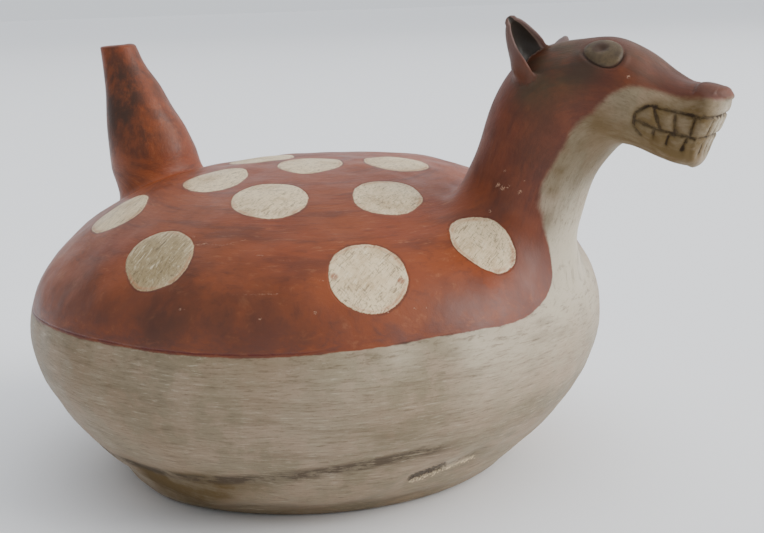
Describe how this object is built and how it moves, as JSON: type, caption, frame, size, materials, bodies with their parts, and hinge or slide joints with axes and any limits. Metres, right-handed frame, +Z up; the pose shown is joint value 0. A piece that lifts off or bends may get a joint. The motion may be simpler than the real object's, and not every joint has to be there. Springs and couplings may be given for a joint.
{
  "type": "deer effigy teapot",
  "caption": "Low round hollow pot of slipped clay with a slanting spout at one end and a deer's head on a short neck at the other, standing on a flat foot.",
  "frame": {"origin": "middle of the flat foot, on the surface that the pot stands on, under the axis of the belly", "axes": "+X from the spout towards the deer's nose, +Y to the deer's left, +Z up"},
  "size_m": [0.2698, 0.22, 0.1668],
  "materials": {
    "slipped_clay": "satin burnished slip, red above and cream below, worn"
  },
  "bodies": {
    "root": {"effigy_vessel": "slipped_clay"}
  },
  "joints": []
}
